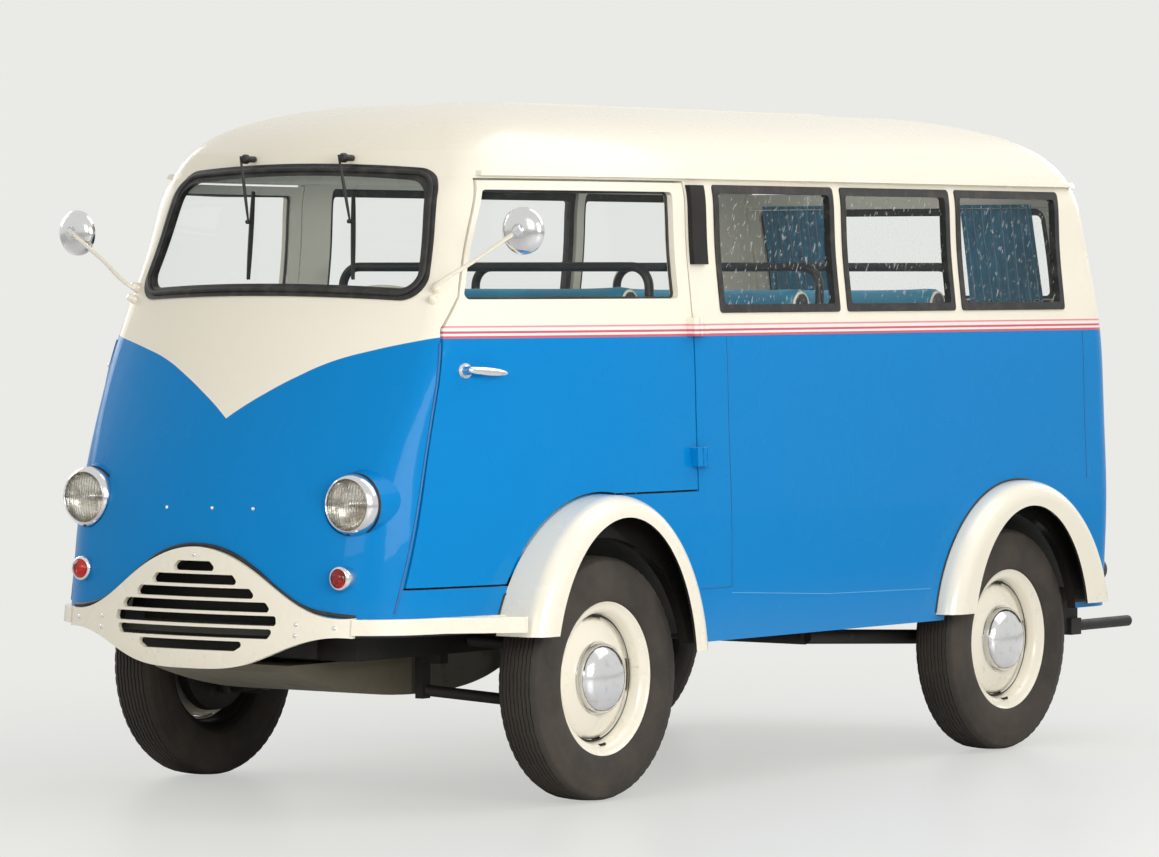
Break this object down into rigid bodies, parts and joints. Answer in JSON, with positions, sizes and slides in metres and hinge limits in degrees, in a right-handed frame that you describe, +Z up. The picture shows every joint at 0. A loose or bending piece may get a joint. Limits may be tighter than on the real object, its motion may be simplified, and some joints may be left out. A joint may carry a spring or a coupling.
{
  "type": "small forward-control passenger van with side windows",
  "caption": "Small two-tone forward-control van with a windowed passenger body, bulging fenders, rear-hinged cab doors, a top-hinged tailgate, steering and rolling wheels.",
  "frame": {"origin": "on the ground at the middle of the vehicle's overall length, on its centreline", "axes": "+Z up, -Y towards the front of the vehicle, +X towards its left side"},
  "size_m": [1.73, 3.9309, 1.9669],
  "materials": {
    "blue_paint": "gloss",
    "cream_paint": "gloss",
    "chassis_black": "satin",
    "engine_grey": "matt",
    "pan_olive": "satin",
    "exhaust_rust": "rusty",
    "chrome": "polished",
    "lamp_glass": "clear",
    "red_lens": "gloss",
    "clear_glass": "clear",
    "seal_rubber": "matt",
    "tyre_rubber": "matt",
    "teal_vinyl": "satin",
    "dash_cream": "satin",
    "black_tube": "satin",
    "cream_bakelite": "gloss",
    "floor_paint": "satin",
    "lamp_black": "gloss"
  },
  "bodies": {
    "body": {"front_panel": "blue_paint", "roof": "cream_paint", "side_panels": "blue_paint", "rear_panel": "blue_paint", "floor": "floor_paint", "dashboard": "dash_cream", "windscreen": "clear_glass", "window_seals": "seal_rubber", "side_glass": "clear_glass", "grille_panel": "cream_paint", "bumper_bars": "cream_paint", "headlamps": "chrome", "signal_lamps": "red_lens", "front_fenders": "cream_paint", "rear_fenders": "cream_paint", "chassis": "chassis_black", "engine": "engine_grey", "undertray": "pan_olive", "front_suspension": "chassis_black", "rear_axle": "chassis_black", "exhaust": "exhaust_rust", "cab_seat": "teal_vinyl", "middle_seat": "teal_vinyl", "rear_seat": "teal_vinyl", "grab_rails": "black_tube", "steering_wheel": "cream_bakelite", "mirrors": "chrome", "wipers": "lamp_black", "signal_arms": "lamp_black"},
    "door_left": {"door_left": "blue_paint", "door_glass_left": "clear_glass", "door_handle_left": "chrome"},
    "door_right": {"door_right": "blue_paint", "door_glass_right": "clear_glass", "door_handle_right": "chrome"},
    "tailgate": {"tailgate": "blue_paint", "tailgate_seal": "seal_rubber", "tailgate_glass": "clear_glass"},
    "knuckle_left": {"knuckle_left": "chassis_black"},
    "knuckle_right": {"knuckle_right": "chassis_black"},
    "wheel_front_left": {"tyre_front_left": "tyre_rubber", "rim_front_left": "cream_paint"},
    "wheel_front_right": {"tyre_front_right": "tyre_rubber", "rim_front_right": "cream_paint"},
    "wheel_rear_left": {"tyre_rear_left": "tyre_rubber", "rim_rear_left": "cream_paint"},
    "wheel_rear_right": {"tyre_rear_right": "tyre_rubber", "rim_rear_right": "cream_paint"}
  },
  "joints": [
    {"name": "steer_left", "type": "hinge", "parent": "body", "child": "knuckle_left", "pos_m": [0.6, -1.0585, 0.343], "axis": [0, 0, 1], "range_deg": [-26, 26]},
    {"name": "steer_right", "type": "hinge", "parent": "body", "child": "knuckle_right", "pos_m": [-0.6, -1.0585, 0.343], "axis": [0, 0, 1], "range_deg": [-26, 26]},
    {"name": "roll_front_left", "type": "hinge", "parent": "knuckle_left", "child": "wheel_front_left", "pos_m": [0.695, -1.0585, 0.343], "axis": [-1, 0, 0], "continuous": true},
    {"name": "roll_front_right", "type": "hinge", "parent": "knuckle_right", "child": "wheel_front_right", "pos_m": [-0.695, -1.0585, 0.343], "axis": [-1, 0, 0], "continuous": true},
    {"name": "roll_rear_left", "type": "hinge", "parent": "body", "child": "wheel_rear_left", "pos_m": [0.695, 1.0615, 0.343], "axis": [-1, 0, 0], "continuous": true},
    {"name": "roll_rear_right", "type": "hinge", "parent": "body", "child": "wheel_rear_right", "pos_m": [-0.695, 1.0615, 0.343], "axis": [-1, 0, 0], "continuous": true},
    {"name": "door_left_hinge", "type": "hinge", "parent": "body", "child": "door_left", "pos_m": [0.778, -0.6105, 0.95], "axis": [-0.0324, 0, 0.9995], "range_deg": [0, 68]},
    {"name": "door_right_hinge", "type": "hinge", "parent": "body", "child": "door_right", "pos_m": [-0.778, -0.6105, 0.95], "axis": [-0.0324, 0, -0.9995], "range_deg": [0, 68]},
    {"name": "tailgate_hinge", "type": "hinge", "parent": "body", "child": "tailgate", "pos_m": [0, 1.6395, 1.726], "axis": [1, 0, 0], "range_deg": [0, 80]}
  ],
  "couplings": [
    {"joint": "steer_right", "follows": "steer_left", "ratio": 1}
  ]
}
